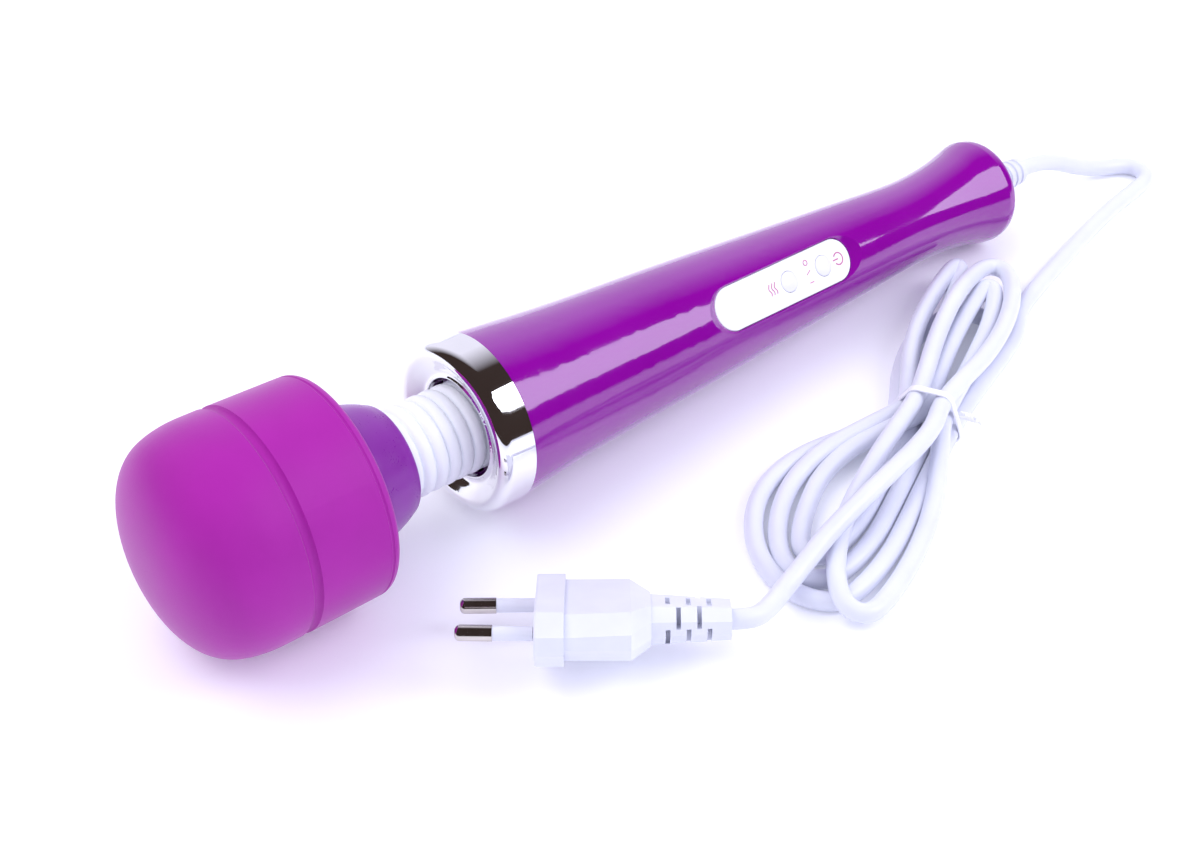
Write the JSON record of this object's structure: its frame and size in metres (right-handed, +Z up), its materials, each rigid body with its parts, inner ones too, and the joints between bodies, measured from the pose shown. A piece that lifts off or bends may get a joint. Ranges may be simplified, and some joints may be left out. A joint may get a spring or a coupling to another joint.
{
  "type": "handheld wand massager",
  "caption": "Corded handheld wand massager: round vibrating head on a sprung bellows neck, tapered handle with a two-button panel, mains lead tied in a hank.",
  "frame": {"origin": "on the floor, under the middle of the wand without its cord", "axes": "+X from the head to the tail along the floor, +Z up, control panel rolled towards -Y"},
  "size_m": [0.3633, 0.133, 0.061],
  "materials": {
    "silicone_purple": "matte",
    "collar_plastic": "satin",
    "shell_plastic": "high gloss",
    "core_plastic": "moulded",
    "bellows_tpe": "satin",
    "ring_chrome": "mirror",
    "liner_plastic": "satin",
    "turned_steel": "turned",
    "screw_steel": "zinc plated",
    "can_steel": "plated",
    "magnet_ferrite": "ground",
    "winding_copper": "enamelled",
    "bell_plastic": "moulded",
    "carbon": "dull",
    "board_laminate": "solder mask",
    "component_black": "moulded",
    "capacitor_can": "sleeved",
    "mount_rubber": "matte",
    "panel_white": "satin gloss",
    "button_white": "satin",
    "cord_pvc": "smooth",
    "relief_pvc": "smooth",
    "plug_pvc": "fine spark-eroded",
    "pin_nickel": "nickel plated",
    "tie_white": "smooth",
    "wire_pvc": "smooth",
    "clamp_plastic": "moulded"
  },
  "bodies": {
    "handle": {"neck_hub_rear": "core_plastic", "chrome_ring": "ring_chrome", "ring_liner": "liner_plastic", "front_shell": "shell_plastic", "back_shell": "shell_plastic", "shell_screws": "screw_steel", "motor_can": "can_steel", "motor_magnets": "magnet_ferrite", "motor_end_bell": "bell_plastic", "motor_brushes": "carbon", "front_bushing": "winding_copper", "motor_mount_front": "mount_rubber", "motor_mount_rear": "mount_rubber", "circuit_board": "board_laminate", "tact_switches": "component_black", "capacitor": "capacitor_can", "rectifier": "component_black", "choke": "winding_copper", "control_panel": "panel_white", "strain_relief": "relief_pvc", "cord_clamp": "clamp_plastic", "supply_wires": "wire_pvc", "cord_inside": "cord_pvc", "plug_body": "plug_pvc", "plug_relief": "plug_pvc", "plug_pins": "pin_nickel", "plug_sleeves": "plug_pvc", "cord_lead": "cord_pvc", "cord_plug_run": "cord_pvc", "cord_hank": "cord_pvc", "cord_tie": "tie_white"},
    "neck": {"bellows": "bellows_tpe", "neck_spring": "turned_steel"},
    "head": {"head_cap": "silicone_purple", "head_core_front": "core_plastic", "head_core_rear": "core_plastic", "head_screws": "screw_steel", "head_collar": "collar_plastic", "front_bearing": "turned_steel", "rear_bearing": "turned_steel", "neck_hub_front": "core_plastic"},
    "rotor": {"motor_shaft": "turned_steel", "armature": "can_steel", "armature_windings": "winding_copper", "commutator": "winding_copper"},
    "drive": {"drive_spring": "turned_steel"},
    "eccentric": {"eccentric_shaft": "turned_steel", "eccentric_weight": "turned_steel"},
    "power_key": {"power_button": "button_white"},
    "mode_key": {"mode_button": "button_white"}
  },
  "joints": [
    {"name": "neck_pitch", "type": "hinge", "parent": "handle", "child": "neck", "pos_m": [-0.07279, 0, 0.02773], "axis": [0, 1, 0], "range_deg": [-18, 18], "stiffness_Nm_per_rad": 8, "deforming": ["bellows", "neck_spring", "drive_spring"]},
    {"name": "neck_yaw", "type": "hinge", "parent": "neck", "child": "head", "pos_m": [-0.08078, 0, 0.02817], "axis": [0.055, 0, 0.9985], "range_deg": [-18, 18], "stiffness_Nm_per_rad": 8, "deforming": ["bellows", "neck_spring", "drive_spring"]},
    {"name": "motor_spin", "type": "hinge", "parent": "handle", "child": "rotor", "pos_m": [-0.02886, 0, 0.02531], "axis": [0.9985, 0, -0.055], "continuous": true},
    {"name": "drive_spring_spin", "type": "hinge", "parent": "neck", "child": "drive", "pos_m": [-0.07479, 0, 0.02784], "axis": [0.9985, 0, -0.055], "continuous": true},
    {"name": "eccentric_spin", "type": "hinge", "parent": "head", "child": "eccentric", "pos_m": [-0.12571, 0, 0.03064], "axis": [0.9985, 0, -0.055], "continuous": true},
    {"name": "power_press", "type": "slide", "parent": "handle", "child": "power_key", "axis": [-0.1003, 0.7809, -0.6166], "range_m": [0, 0.0005], "stiffness_N_per_m": 900},
    {"name": "mode_press", "type": "slide", "parent": "handle", "child": "mode_key", "axis": [-0.1003, 0.7809, -0.6166], "range_m": [0, 0.0005], "stiffness_N_per_m": 900}
  ],
  "couplings": [
    {"joint": "drive_spring_spin", "follows": "eccentric_spin", "ratio": 1},
    {"joint": "motor_spin", "follows": "eccentric_spin", "ratio": 1}
  ]
}
